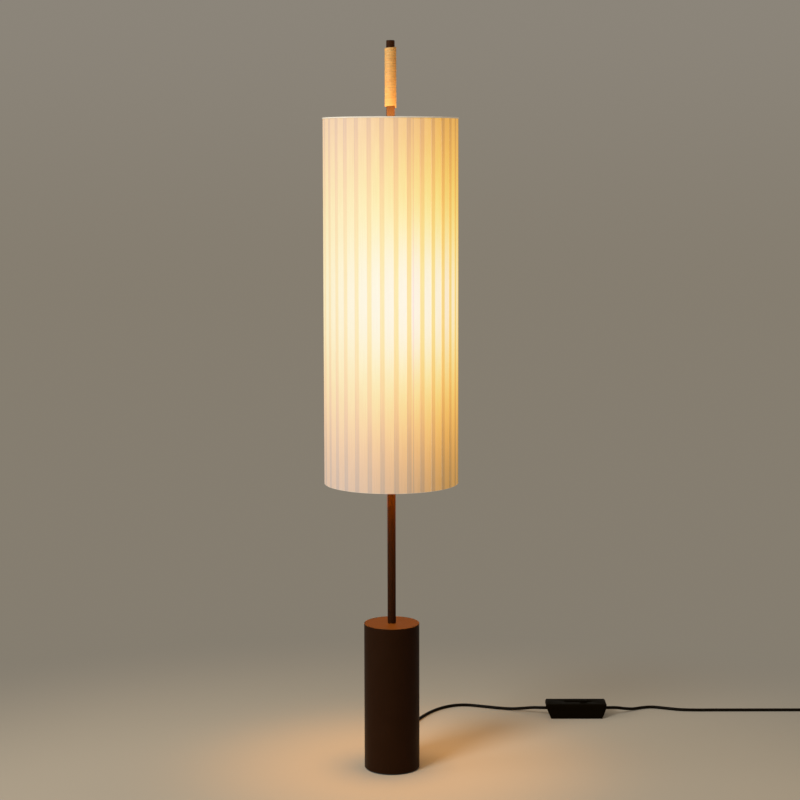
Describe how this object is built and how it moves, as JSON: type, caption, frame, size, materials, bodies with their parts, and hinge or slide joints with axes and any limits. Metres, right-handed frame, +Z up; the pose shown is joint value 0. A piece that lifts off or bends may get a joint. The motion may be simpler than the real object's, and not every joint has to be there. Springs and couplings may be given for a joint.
{
  "type": "floor lamp",
  "caption": "Slim floor lamp with a long lapped-ribbon cylinder shade, a weighted cylinder base, a wound carrying grip and a corded slide dimmer.",
  "frame": {"origin": "centre of the base's underside, on the floor, leaving out the lead", "axes": "+Z up along the stem, +Y to the lamp's back where the lead leaves, +X to the lamp's right as pictured"},
  "size_m": [1.054, 0.5068, 1.313],
  "materials": {
    "bronze_paint": "satin dark bronze paint",
    "dark_cap_paint": "satin dark bronze paint",
    "foot_rubber": "matt",
    "zinc_steel": "zinc plated",
    "raw_iron": "as cast",
    "black_rubber": "matt",
    "black_cord": "satin sheath",
    "white_wire": "satin",
    "cream_steel": "satin cream paint",
    "cream_plastic": "satin moulded",
    "brass": "plain",
    "cap_metal": "rolled",
    "opal_glass": "opal, lit warm",
    "ribbon_fabric": "translucent off-white woven ribbon",
    "binding_tape": "narrow tape",
    "wound_strand": "wound natural strand",
    "black_plastic": "fine spark texture",
    "track_metal": "plain",
    "board_green": "lacquered",
    "terminal_plastic": "plain",
    "pin_metal": "nickel plated",
    "sleeve_plastic": "smooth"
  },
  "bodies": {
    "lamp": {"foot_pad": "foot_rubber", "base_plate": "zinc_steel", "base_plate_screws": "zinc_steel", "ballast": "raw_iron", "base_shell": "bronze_paint", "stem_flange": "zinc_steel", "flange_screws": "zinc_steel", "flange_grub_screw": "zinc_steel", "cord_gland": "black_rubber", "inner_flex": "black_cord", "stem_tube": "bronze_paint", "lower_bracket": "cream_steel", "upper_bracket": "cream_steel", "bracket_screws": "zinc_steel", "lower_lampholder": "cream_plastic", "upper_lampholder": "cream_plastic", "lampholder_nuts": "brass", "lamp_leads": "white_wire", "lower_bulb_cap": "cap_metal", "lower_bulb": "opal_glass", "upper_bulb_cap": "cap_metal", "upper_bulb": "opal_glass", "bottom_spider": "cream_steel", "top_spider": "cream_steel", "spider_screws": "zinc_steel", "bottom_hoop": "cream_steel", "top_hoop": "cream_steel", "shade_ribbons": "ribbon_fabric", "bottom_binding": "binding_tape", "top_binding": "binding_tape", "handle_winding": "wound_strand", "top_cap": "dark_cap_paint", "cord_base_to_dimmer": "black_cord", "dimmer_tray": "black_plastic", "dimmer_cover": "black_plastic", "dimmer_track": "track_metal", "dimmer_board": "board_green", "dimmer_terminals": "terminal_plastic", "dimmer_screws": "zinc_steel", "cord_dimmer_to_coil": "black_cord", "cord_coil": "black_cord", "plug_relief": "black_rubber", "plug_body": "black_plastic", "plug_pins": "pin_metal", "pin_sleeves": "sleeve_plastic"},
    "slider": {"dimmer_slider": "black_plastic"}
  },
  "joints": [
    {"name": "dimmer_slide", "type": "slide", "parent": "lamp", "child": "slider", "axis": [1, 0, 0], "range_m": [-0.031, 0.009]}
  ]
}
